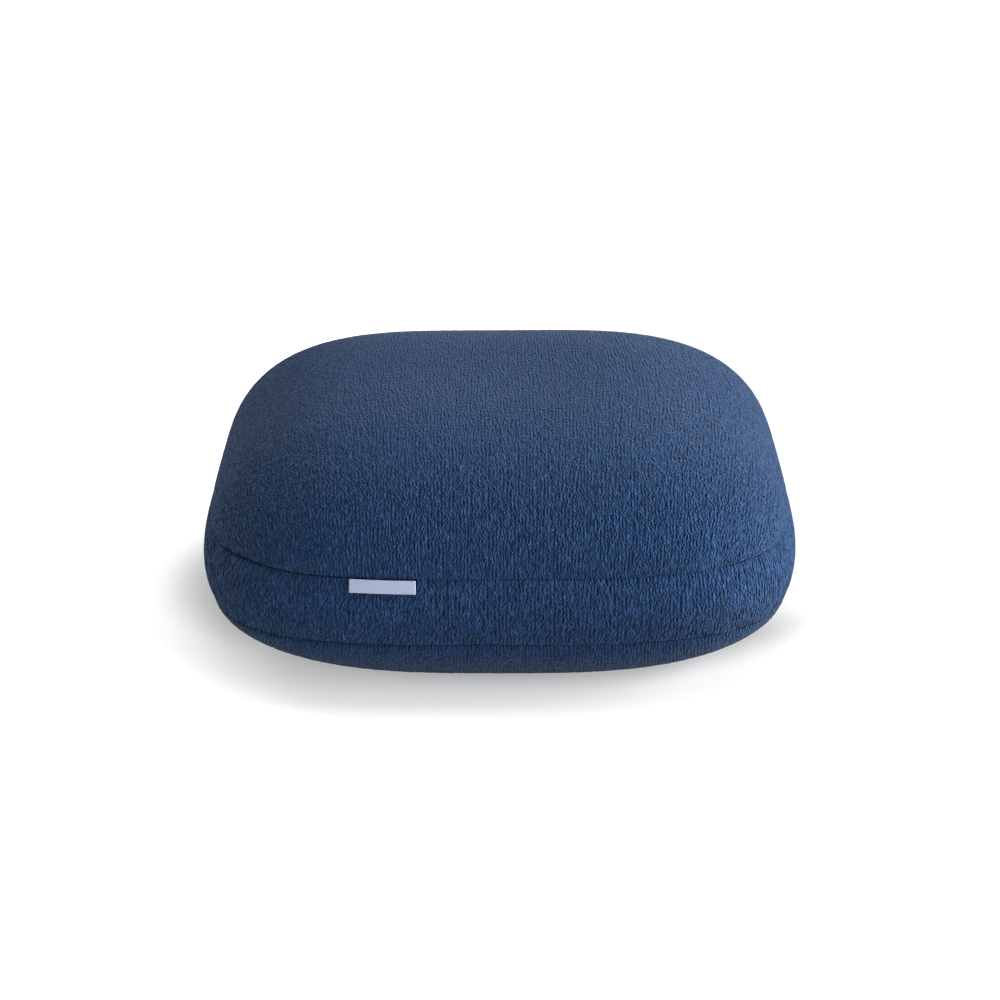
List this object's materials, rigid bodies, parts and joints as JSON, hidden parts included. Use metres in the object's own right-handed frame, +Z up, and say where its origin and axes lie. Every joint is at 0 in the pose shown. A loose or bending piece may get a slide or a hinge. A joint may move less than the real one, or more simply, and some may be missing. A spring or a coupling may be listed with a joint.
{
  "type": "weighted pillow",
  "caption": "Square filled pillow with a crowned top, an upright sewn side band, a rounded underside and a small bare label in the upper seam.",
  "frame": {"origin": "middle of the flat underside that rests on the surface", "axes": "+Z up out of the crown, +X to the right along the front side, -Y towards the side with the label"},
  "size_m": [0.4104, 0.4104, 0.1643],
  "materials": {
    "filled_pillow": "ribbed navy plush with a soft sheen",
    "woven_label": "smooth pale woven tape, bare"
  },
  "bodies": {
    "root": {"filled_pillow": "filled_pillow", "woven_label": "woven_label"}
  },
  "joints": []
}
